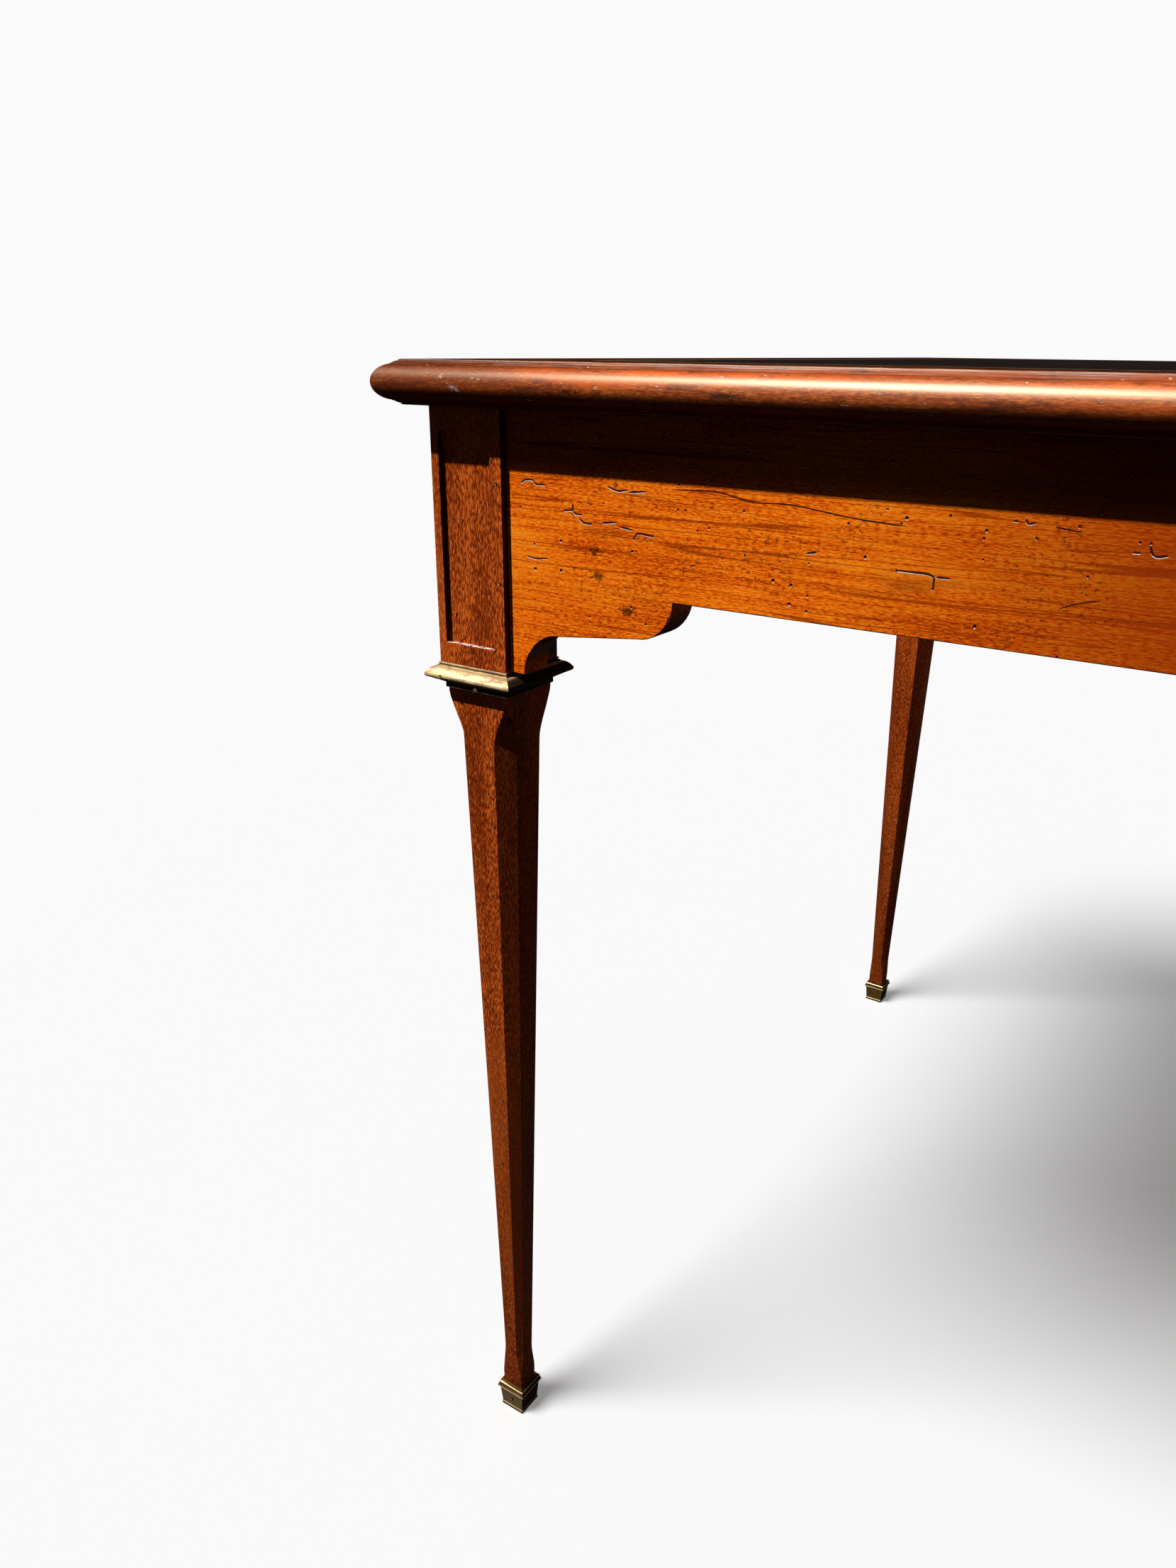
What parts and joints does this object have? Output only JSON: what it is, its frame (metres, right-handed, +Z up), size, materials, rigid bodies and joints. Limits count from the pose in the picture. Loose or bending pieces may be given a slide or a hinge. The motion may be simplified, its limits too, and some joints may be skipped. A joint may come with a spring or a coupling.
{
  "type": "tric trac table",
  "caption": "Games table with a lift-off moulded top over an inlaid playing well, end drawers, and tapered stop-chamfered legs in brass collars and feet.",
  "frame": {"origin": "centre of the footprint, on the floor", "axes": "+Z up, X along the table, the front looks to -Y"},
  "size_m": [1.2, 0.812, 0.745],
  "materials": {
    "leg_wood": "waxed cherry, distressed",
    "apron_wood": "waxed cherry, distressed",
    "top_edge_wood": "polished cherry",
    "well_wood": "waxed",
    "board_wood": "waxed",
    "inlay_light": "waxed inlay",
    "inlay_dark": "ebonised inlay",
    "inner_wood": "plain",
    "drawer_wood": "plain oak",
    "top_leather": "glossy",
    "top_baize": "felted",
    "brass_collar": "tarnished",
    "brass_foot": "antique",
    "brass_small": "antique"
  },
  "bodies": {
    "carcass": {"apron_back": "apron_wood", "apron_front": "apron_wood", "apron_left": "apron_wood", "apron_right": "apron_wood", "bay_deck_left": "inner_wood", "bay_deck_right": "inner_wood", "bay_divider_left": "inner_wood", "bay_divider_right": "inner_wood", "centre_bar": "well_wood", "collar_back_left": "brass_collar", "collar_back_right": "brass_collar", "collar_front_left": "brass_collar", "collar_front_right": "brass_collar", "drawer_stops": "inner_wood", "leg_back_left": "leg_wood", "leg_back_right": "leg_wood", "leg_front_left": "leg_wood", "leg_front_right": "leg_wood", "locating_pegs": "brass_small", "mount_pins": "brass_small", "partition_left": "well_wood", "partition_right": "well_wood", "playing_board": "board_wood", "points_dark": "inlay_dark", "points_light": "inlay_light", "runner_inner_left": "inner_wood", "runner_inner_right": "inner_wood", "runner_outer_left": "inner_wood", "runner_outer_right": "inner_wood", "sabot_back_left": "brass_foot", "sabot_back_right": "brass_foot", "sabot_front_left": "brass_foot", "sabot_front_right": "brass_foot", "trough_board_left": "inner_wood", "trough_board_right": "inner_wood", "well_rail_back": "well_wood", "well_rail_front": "well_wood"},
    "top": {"mitre_keys": "inner_wood", "top_baize": "top_baize", "top_core": "inner_wood", "top_leather": "top_leather", "top_rail_back": "top_edge_wood", "top_rail_front": "top_edge_wood", "top_rail_left": "top_edge_wood", "top_rail_right": "top_edge_wood"},
    "drawer_front": {"front_drawer_back": "drawer_wood", "front_drawer_bottom": "drawer_wood", "front_drawer_face": "apron_wood", "front_drawer_knob": "brass_small", "front_drawer_side_inner": "drawer_wood", "front_drawer_side_outer": "drawer_wood"},
    "drawer_back": {"back_drawer_back": "drawer_wood", "back_drawer_bottom": "drawer_wood", "back_drawer_face": "apron_wood", "back_drawer_knob": "brass_small", "back_drawer_side_inner": "drawer_wood", "back_drawer_side_outer": "drawer_wood"}
  },
  "joints": [
    {"name": "top_lift", "type": "slide", "parent": "carcass", "child": "top", "axis": [0, 0, 1], "range_m": [0, 0.3]},
    {"name": "front_drawer_slide", "type": "slide", "parent": "carcass", "child": "drawer_front", "axis": [0, -1, 0], "range_m": [0, 0.27]},
    {"name": "back_drawer_slide", "type": "slide", "parent": "carcass", "child": "drawer_back", "axis": [0, 1, 0], "range_m": [0, 0.27]}
  ]
}
